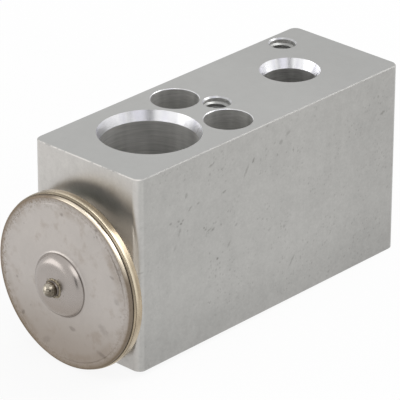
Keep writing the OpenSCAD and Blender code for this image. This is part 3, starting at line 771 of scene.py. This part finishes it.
@dataclass(frozen=True)
class Turned(Finish):
    """Metal turned on the valve axis, with fine feed lines along it and on its faces."""

    metal: Colour
    tarnish: Colour
    shine: float
    lines_per_mm: float
    share: float = 1.0

    def paint(self, recipe: Recipe) -> Coat:
        """See Finish.paint."""
        x, y, z, here = recipe.place()
        across = recipe.vector(x, y.reach(z - AXIS_Z), 0.0)
        feed = recipe.swing(across, self.lines_per_mm, 3.0, 0.65)
        patches = recipe.noise(here, 0.22)
        grain = recipe.swing(here, 3.0, 3.0)
        colour = recipe.mix(patches.rise(0.5, 0.8) * 0.55, self.metal, self.tarnish)
        colour = recipe.lit(colour, 1 + feed * 0.16 + grain * 0.06)
        roughness = self.shine + patches * 0.12 + feed * 0.08
        return Coat(colour, roughness, feed * 0.006 + grain * 0.001, self.share)


@dataclass(frozen=True)
class SpringSteel(Finish):
    """Rolled or drawn spring steel with a light oil-dark film."""

    steel: Colour = srgb(170, 169, 166)
    film: Colour = srgb(96, 92, 86)

    def paint(self, recipe: Recipe) -> Coat:
        """See Finish.paint."""
        here = recipe.place()[3]
        film = recipe.noise(here, 0.5)
        grain = recipe.swing(here, 5.0, 3.0)
        colour = recipe.mix(film.rise(0.45, 0.7) * 0.6, self.steel, self.film)
        colour = recipe.lit(colour, 1 + grain * 0.12)
        return Coat(colour, 0.22 + film * 0.16 + grain * 0.05, grain * 0.0022)


@dataclass(frozen=True)
class SealRubber(Finish):
    """Moulded black rubber with a faint bloom."""

    rubber: Colour = srgb(34, 34, 35)
    bloom: Colour = srgb(78, 78, 76)

    def paint(self, recipe: Recipe) -> Coat:
        """See Finish.paint."""
        here = recipe.place()[3]
        bloom = recipe.noise(here, 0.8, 4.0, 0.65)
        grain = recipe.swing(here, 7.0, 2.0, 0.5)
        colour = recipe.mix(bloom.rise(0.5, 0.75) * 0.5, self.rubber, self.bloom)
        return Coat(colour, 0.5 + bloom * 0.2, grain * 0.006, 0.0)


BRASS = Turned("brass_turned", Slot.BRASS, srgb(206, 176, 112), srgb(150, 118, 66), 0.22, 3.0)
ROD_METAL = Turned("rod_turned", Slot.ROD, srgb(196, 196, 194), srgb(150, 148, 142), 0.26, 4.0)
PIN_METAL = Turned("pin_ground", Slot.POLISHED, srgb(206, 204, 200), srgb(160, 156, 150), 0.14, 6.0)
COLLAR = Turned("collar_turned", Slot.HEAD, srgb(178, 174, 168), srgb(132, 124, 112), 0.28, 1.0)
THREAD = Turned("thread_cut", Slot.BLOCK, srgb(170, 170, 168), srgb(122, 122, 120), 0.28, 2.0, 0.6)
POLISHED = PolishedBall("steel_ball", Slot.POLISHED)
SPRING = SpringSteel("steel_spring", Slot.SPRING)
RUBBER = SealRubber("rubber_seal", Slot.RUBBER)
CAP = CapStainless("stainless_cap", Slot.HEAD)
RIM = WeldedRim("stainless_rim", Slot.RIM)
FUSED = FusedMetal("fused_steel", Slot.POLISHED)


def new_object(name: str, data: bpy.types.ID) -> bpy.types.Object:
    """Adds an object to the scene.

    Args:
        name: The object's name.
        data: Its mesh, lamp or camera.

    Returns:
        The object.
    """
    made = bpy.data.objects.new(name, data)
    bpy.context.scene.collection.objects.link(made)
    return made


def dress(finishes: Mapping[str, Finish]) -> None:
    """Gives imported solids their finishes.

    Args:
        finishes: The finishes by the solids' names.
    """
    for node, finish in finishes.items():
        for place in frame["nodes"][node].material_slots:
            place.link = "OBJECT"
            place.material = finish.material()
        LOG.info("dressed %s with %s", node, finish.name)


@dataclass(frozen=True)
class Stretch:
    """Two bodies and two places along the valve axis for a piece that lies between them."""

    near: Body
    far: Body
    from_x: float
    to_x: float

    def bind(self, piece: bpy.types.Object) -> None:
        """Bakes the piece's placement into its mesh. The two places are worked out but not used,
        and the piece follows neither body.
        """
        start, end = ((x * MM, 0.0, AXIS_Z * MM) for x in (self.from_x, self.to_x))
        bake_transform(piece)


def add_piece(
    name: str,
    points: Sequence[Point],
    faces: Sequence[Sequence[int]],
    finish: Finish,
    body: Body | Stretch,
) -> bpy.types.Object:
    """Adds a mesh in millimetres as a piece of the object.

    Args:
        name: The piece's name.
        points: Its corners in millimetres.
        faces: Its faces by corner number.
        finish: Its finish.
        body: The body that it moves with, or a Stretch, for which the piece only has its placement
            baked.

    Returns:
        The piece.
    """
    mesh = bpy.data.meshes.new(name)
    mesh.from_pydata([tuple(c * MM for c in point) for point in points], [], faces)
    mesh.validate()
    mesh.shade_smooth()
    mesh.set_sharp_from_angle(angle=SHARP_ANGLE)
    mesh.materials.append(finish.material())
    piece = new_object(name, mesh)
    if isinstance(body, Stretch):
        body.bind(piece)
    else:
        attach(piece, body.value)
    LOG.info("built %s with %d faces", name, len(mesh.polygons))
    return piece


def tube_faces(rings: int, per_ring: int, closed: bool) -> list[tuple[int, ...]]:
    """Faces between rings of corners.

    Args:
        rings: Number of rings.
        per_ring: Corners in a ring.
        closed: Whether the last ring joins the first. Otherwise both ends get a cap.

    Returns:
        The faces.
    """
    made: list[tuple[int, ...]] = []
    for ring in range(rings if closed else rings - 1):
        here, there = ring * per_ring, (ring + 1) % rings * per_ring
        for corner in range(per_ring):
            after = (corner + 1) % per_ring
            made.append((here + corner, here + after, there + after, there + corner))
    if not closed:
        made.append(tuple(reversed(range(per_ring))))
        made.append(tuple((rings - 1) * per_ring + corner for corner in range(per_ring)))
    return made


@dataclass(frozen=True)
class InnerThread:
    """The helical ridge of a tapped hole, in millimetres and turns."""

    name: str
    x: float
    y: float
    major_r: float = 3.0
    pitch: float = 1.0
    minor_r: float = 2.5
    top: float = TOP_Z - 0.3
    length: float = 14.0
    steps: int = 40
    sunk: float = 0.03
    root_half: float = 0.46
    crest_half: float = 0.1
    runout_turns: float = 0.75
    least_share: float = 0.06

    def build(self) -> None:
        """Sweeps the ridge's section along its helix."""
        count = round(self.length / self.pitch * self.steps)
        points: list[Point] = []
        for step in range(count + 1):
            turn = step / self.steps * math.tau
            height = self.top - self.root_half - step / self.steps * self.pitch
            share = min(step, count - step) / (self.steps * self.runout_turns)
            share = max(min(share, 1.0), self.least_share)
            crest = self.major_r - (self.major_r - self.minor_r) * share
            section = (
                (self.major_r + self.sunk, self.root_half),
                (crest, self.crest_half),
                (crest, -self.crest_half),
                (self.major_r + self.sunk, -self.root_half),
            )
            for radius, rise in section:
                x, y = self.x + radius * math.cos(turn), self.y - radius * math.sin(turn)
                points.append((x, y, height + rise))
        add_piece(self.name, points, tube_faces(count + 1, 4, False), THREAD, Body.BLOCK)


@dataclass
class ValveBlock:
    """The aluminium block with its ports and holes.

    MOUTH holds what each kind of port adds to its bore's radius, its taper's depth and its tone,
    the level of the painted shade on its bored wall.
    """

    MOUTH: ClassVar[dict[str, Trio]] = {"suction": (0.75, 2.4, 0.94), "liquid": (0.9, 2.3, 0.71)}
    TAPPED: ClassVar[tuple[str, ...]] = ("hose_plate_thread", "bracket_thread")

    screw_hole: Hole = Hole(0.0, 0.0, 5.65, 0.15, shine=0.832)
    tapped_hole: Hole = Hole(0.0, 0.0, 3.35, 0.35, shine=0.572)
    ports: list[Hole] = field(default_factory=list)
    holes: list[Hole] = field(default_factory=list)

    def read_places(self, mounts: Sequence[Mapping[str, Any]]) -> None:
        """Takes the holes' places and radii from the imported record.

        Args:
            mounts: The record's mounts.
        """
        by_name = {mount["name"]: mount for mount in mounts}
        for name, kind, from_top in (
            ("suction_outlet_port", "suction", True),
            ("suction_inlet_port", "suction", False),
            ("liquid_inlet_port", "liquid", True),
            ("evaporator_outlet_port", "liquid", False),
        ):
            mount = by_name[name]
            room, taper, tone = self.MOUTH[kind]
            mouth = mount["dims"]["r_mm"] + room
            x, y = (c / MM for c in mount["pos_m"][:2])
            self.ports.append(Hole(x, y, mouth, taper, from_top, tone=tone))
        screws = by_name["flange_screws"]
        x = screws["pos_m"][0] / MM
        half = screws["dims"]["spacing_y_mm"] / 2
        self.holes += [replace(self.screw_hole, x=x, y=y) for y in (half, -half)]
        for name in self.TAPPED:
            x, y = (c / MM for c in by_name[name]["pos_m"][:2])
            self.holes.append(replace(self.tapped_hole, x=x, y=y))

    def build(self) -> None:
        """Dresses the block and cuts its threads."""
        ports, holes = tuple(self.ports), tuple(self.holes)
        skin = BlockAluminium("aluminium_block", Slot.BLOCK, ports, holes)
        dress({"valve_body": skin})
        for name, hole in zip(self.TAPPED, holes[-len(self.TAPPED) :]):
            InnerThread(f"{name}_ridge", hole.x, hole.y).build()


@dataclass
class PowerElement:
    """The diaphragm head with its charge ball and the ball's weld, in millimetres."""

    FINISHES: ClassVar[dict[str, Finish]] = {
        "power_element_cap": CAP,
        "lower_cap": RIM,
        "charge_ball": POLISHED,
        "threaded_collar": COLLAR,
        "diaphragm": SPRING,
        "head_seal": RUBBER,
    }

    dome_top: float = 10.35
    dome_r: float = 56.95
    bead_r: float = 1.95
    bead_thick: float = 0.34
    bead_flat: float = 0.62
    bead_steps: int = 72
    bead_corners: int = 10
    bead_waves: tuple[int, ...] = (3, 5, 9, 14)
    bead_lump: float = 0.06
    bead_sunk: float = 0.02
    drops: int = 26
    drop_rings: int = 5
    drop_corners: int = 9
    drop_side: Span = (-0.35, 1.1)
    drop_far: Span = (2.2, 3.3)
    drop_size: Span = (0.06, 0.15)
    drop_flat: Span = (0.45, 0.8)
    drop_sunk: float = 0.03
    seed: int = 7

    def _bead(self) -> None:
        """Builds the uneven ring of fused metal round the ball's foot."""
        rng = random.Random(self.seed)
        phases = [rng.uniform(0, math.tau) for _ in self.bead_waves]
        points: list[Point] = []
        for step in range(self.bead_steps):
            turn = step / self.bead_steps * math.tau
            waves = (math.sin(turn * k + phase) for k, phase in zip(self.bead_waves, phases))
            lump = sum(waves) * self.bead_lump
            middle = self.bead_r + lump * 0.5
            thick = self.bead_thick * (1 + lump)
            for corner in range(self.bead_corners):
                around = corner / self.bead_corners * math.tau
                radius = middle + thick * math.cos(around)
                out = self.dome_top - self.bead_sunk + thick * self.bead_flat * math.sin(around)
                y, z = radius * math.cos(turn), AXIS_Z + radius * math.sin(turn)
                points.append((HEAD_X - out, y, z))
        faces = tube_faces(self.bead_steps, self.bead_corners, True)
        add_piece("charge_weld_bead", points, faces, FUSED, Body.BLOCK)

    def _spatter(self) -> None:
        """Builds the droplets that the weld threw on the dome."""
        rng = random.Random(self.seed + 1)
        points: list[Point] = []
        faces: list[tuple[int, ...]] = []
        drop = tube_faces(self.drop_rings, self.drop_corners, False)
        for _ in range(self.drops):
            turn = rng.gauss(*self.drop_side)
            far = rng.uniform(*self.drop_far)
            size = rng.uniform(*self.drop_size) * (1.15 - (far - self.drop_far[0]) * 0.35)
            flat = rng.uniform(*self.drop_flat)
            foot = self.dome_top - self.surface_drop(far) - self.drop_sunk
            start = len(points)
            for ring in range(self.drop_rings):
                tilt = ring / (self.drop_rings - 1) * math.pi / 2
                for corner in range(self.drop_corners):
                    around = corner / self.drop_corners * math.tau
                    wobble = 1 + 0.16 * math.sin(around * 2 + turn * 5)
                    wobble += 0.08 * math.sin(around * 3 + far * 7)
                    radius = size * max(math.cos(tilt), 0.02) * wobble
                    y = -(far * math.cos(turn) + radius * math.cos(around))
                    z = AXIS_Z + far * math.sin(turn) + radius * math.sin(around)
                    points.append((HEAD_X - foot - size * flat * math.sin(tilt), y, z))
            faces += [tuple(start + corner for corner in face) for face in drop]
        add_piece("charge_weld_spatter", points, faces, FUSED, Body.BLOCK)

    def surface_drop(self, far: float) -> float:
        """How far the dome has fallen below its top at a distance from the axis."""
        return self.dome_r - math.sqrt(self.dome_r**2 - far**2)

    def build(self) -> None:
        """Dresses the head and builds its weld."""
        dress(self.FINISHES)
        self._bead()
        self._spatter()


@dataclass
class ValveTrain:
    """Everything that slides with the sensing rod, and its seal."""

    FINISHES: ClassVar[dict[str, Finish]] = {
        "diaphragm_stop": BRASS,
        "sensing_rod": ROD_METAL,
        "rod_seal": RUBBER,
        "seal_retainer": SPRING,
        "valve_pin": PIN_METAL,
        "valve_ball": POLISHED,
        "ball_support": BRASS,
        "damper_spring": SPRING,
    }

    def build(self) -> None:
        """Dresses the pieces."""
        dress(self.FINISHES)


@dataclass
class Adjuster:
    """Spring, adjusting screw and its seal, in millimetres."""

    spring: str = "superheat_spring"
    closed_end: float = 1.6
    merge_m: float = 1e-7

    def _half(self, name: str, cut_x: float, keep_front: bool, stretch: Stretch) -> None:
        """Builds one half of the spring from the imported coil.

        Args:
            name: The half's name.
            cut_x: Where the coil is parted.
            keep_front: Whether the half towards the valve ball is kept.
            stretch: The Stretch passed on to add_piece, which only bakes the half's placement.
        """
        coil = bmesh.new()
        coil.from_mesh(frame["nodes"][self.spring].data)
        bmesh.ops.remove_doubles(coil, verts=coil.verts, dist=self.merge_m)
        cut = bmesh.ops.bisect_plane(
            coil,
            geom=[*coil.verts, *coil.edges, *coil.faces],
            plane_co=(cut_x * MM, 0.0, 0.0),
            plane_no=(1.0, 0.0, 0.0),
            clear_outer=keep_front,
            clear_inner=not keep_front,
        )
        open_edges = [part for part in cut["geom_cut"] if isinstance(part, bmesh.types.BMEdge)]
        bmesh.ops.holes_fill(coil, edges=open_edges)
        points = [tuple(c / MM for c in corner.co) for corner in coil.verts]
        faces = [tuple(corner.index for corner in face.verts) for face in coil.faces]
        coil.free()
        piece = add_piece(name, points, faces, SPRING, stretch)
        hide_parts(self.spring)

    def build(self) -> None:
        """Dresses the pieces, and parts the spring into two halves."""
        front, back = (corner[0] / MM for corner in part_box(self.spring))
        middle = (front + back) / 2
        ahead = Stretch(Body.TRAIN, Body.BLOCK, front + self.closed_end, middle)
        behind = Stretch(Body.BLOCK, Body.RING, middle, back - self.closed_end)
        self._half("superheat_spring_front", middle, True, ahead)
        self._half("superheat_spring_rear", middle, False, behind)
        dress({"adjusting_screw": BRASS, "adjuster_seal": RUBBER})


@dataclass(frozen=True)
class Softbox:
    """A soft lamp that looks at the valve."""

    name: str
    direction: Point
    distance: float
    width: float
    height: float
    level: float

    def build(self, target: Vector) -> None:
        """Adds the lamp.

        Args:
            target: The point that it looks at, in metres.
        """
        lamp = bpy.data.lights.new(self.name, "AREA")
        lamp.shape = "RECTANGLE"
        lamp.size, lamp.size_y = self.width, self.height
        lamp.energy = math.pi * self.width * self.height * self.level
        placed = new_object(self.name, lamp)
        away = Vector(self.direction).normalized()
        placed.location = target + away * self.distance
        placed.rotation_mode = "QUATERNION"
        placed.rotation_quaternion = away.to_track_quat("Z", "Y")


@dataclass
class Studio:
    """Floor, surround, lamps and camera."""

    ambient: float = 0.62
    floor_half: float = 3.0
    floor_white: Colour = (0.86, 0.86, 0.86, 1.0)
    white: Colour = (1.0, 1.0, 1.0, 1.0)
    glow_near: float = 0.9
    gaps: tuple[tuple[float, float, float], ...] = ((222.7, 7.0, 0.95), (268.0, 5.0, 0.6))
    gap_rise: Span = (-0.05, 0.55)
    gap_side: float = 0.06
    gap_fade: float = 0.7
    fade: Span = (70.0, 300.0)
    rim_low: Point = (-48.8, 0.0, -1.2)
    lens: float = 324.25
    clip: Span = (0.01, 20.0)
    eye: Point = (-0.54138, -0.49682, 0.37725)
    ahead: Point = (0.6595, 0.61273, -0.43544)
    right: Point = (0.68177, -0.73156, 0.00315)
    lamps: tuple[Softbox, ...] = (
        Softbox("key", (-0.45, -0.75, 1.0), 0.75, 0.5, 0.5, 1.25),
        Softbox("far_right", (0.66, -0.41, 0.59), 0.8, 0.35, 0.5, 2.6),
        Softbox("left", (-0.8, 0.75, 0.25), 0.8, 0.6, 0.5, 1.3),
        Softbox("above", (0.42, -0.12, 0.90), 0.8, 0.42, 0.34, 3.2),
    )

    def _surround(self) -> None:
        """Sets a white world that the camera and the metal see, and a softer one that lights."""
        world = bpy.data.worlds.new("surround")
        world.use_nodes = True
        bpy.context.scene.world = world
        recipe = Recipe(world.node_tree)
        seen = recipe.seen()
        dx, dy, dz = recipe.parts(recipe.node("ShaderNodeTexCoord").outputs["Generated"])
        flat = dx.reach(dy).most(0.001)
        tall = dz.band(*self.gap_rise, self.gap_side)
        gaps: list[Num] = []
        for turn, half, depth in self.gaps:
            angle, soft = math.radians(turn), half * self.gap_fade
            toward = (dx * math.cos(angle) + dy * math.sin(angle)) / flat
            edges = (math.cos(math.radians(side)) for side in (half + soft, half - soft))
            gaps.append(toward.rise(*edges) * tall * depth)
        glossy = recipe.num(recipe.node("ShaderNodeLightPath"), "Is Glossy Ray")
        level = seen * (1 - reduce(Num.most, gaps) * glossy) + (1 - seen) * self.ambient
        inputs = {"Color": self.white, "Strength": level}
        back = recipe.node("ShaderNodeBackground", None, inputs)
        recipe.node("ShaderNodeOutputWorld", None, {"Surface": back.outputs[0]})

    def _floor(self) -> None:
        """Lays the floor under the rim's lowest point and the block's far edge."""
        slope = -self.rim_low[2] / (END_X - self.rim_low[0])
        half = self.floor_half
        plan = (-half, -half), (half, -half), (half, half), (-half, half)
        corners = [(x, y, (x - END_X * MM) * slope) for x, y in plan]
        mesh = bpy.data.meshes.new("studio_floor")
        mesh.from_pydata(corners, [], [(0, 1, 2, 3)])
        material = bpy.data.materials.new("floor_white")
        material.use_nodes = True
        recipe = Recipe(material.node_tree)
        x, y, _, _ = recipe.place()
        glow = recipe.seen() * (self.glow_near + (1 - self.glow_near) * x.reach(y).rise(*self.fade))
        matt = recipe.node("ShaderNodeBsdfDiffuse", None, {"Color": self.floor_white})
        white = recipe.node("ShaderNodeEmission", None, {"Color": self.white, "Strength": 1.0})
        inputs = {0: glow, 1: matt.outputs[0], 2: white.outputs[0]}
        both = recipe.node("ShaderNodeMixShader", None, inputs)
        recipe.node("ShaderNodeOutputMaterial", None, {"Surface": both.outputs[0]})
        mesh.materials.append(material)
        floor = new_object("studio_floor", mesh)

    def _camera(self) -> None:
        """Sets the camera where the photograph was taken from."""
        data = bpy.data.cameras.new("camera")
        data.lens = self.lens
        data.clip_start, data.clip_end = self.clip
        camera = new_object("camera", data)
        right = Vector(self.right).normalized()
        back = -Vector(self.ahead).normalized()
        up = back.cross(right)
        facing = Matrix((right, up, back)).transposed()
        camera.matrix_world = Matrix.Translation(Vector(self.eye)) @ facing.to_4x4()
        bpy.context.scene.camera = camera

    def build(self) -> None:
        """Builds the studio."""
        bpy.context.scene.view_settings.view_transform = "Standard"
        self._surround()
        self._floor()
        for lamp in self.lamps:
            lamp.build(Vector((0.0, 0.0, AXIS_Z * MM)))
        self._camera()
        LOG.info("studio with %d lamps", len(self.lamps))


def main() -> None:
    """Builds the looks."""
    logging.basicConfig(level=logging.INFO, format="%(message)s")
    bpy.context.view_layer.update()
    block = ValveBlock()
    block.read_places(frame["record"]["mounts"])
    for assembly in (block, PowerElement(), ValveTrain(), Adjuster(), Studio()):
        assembly.build()


if __name__ == "__main__":
    main()
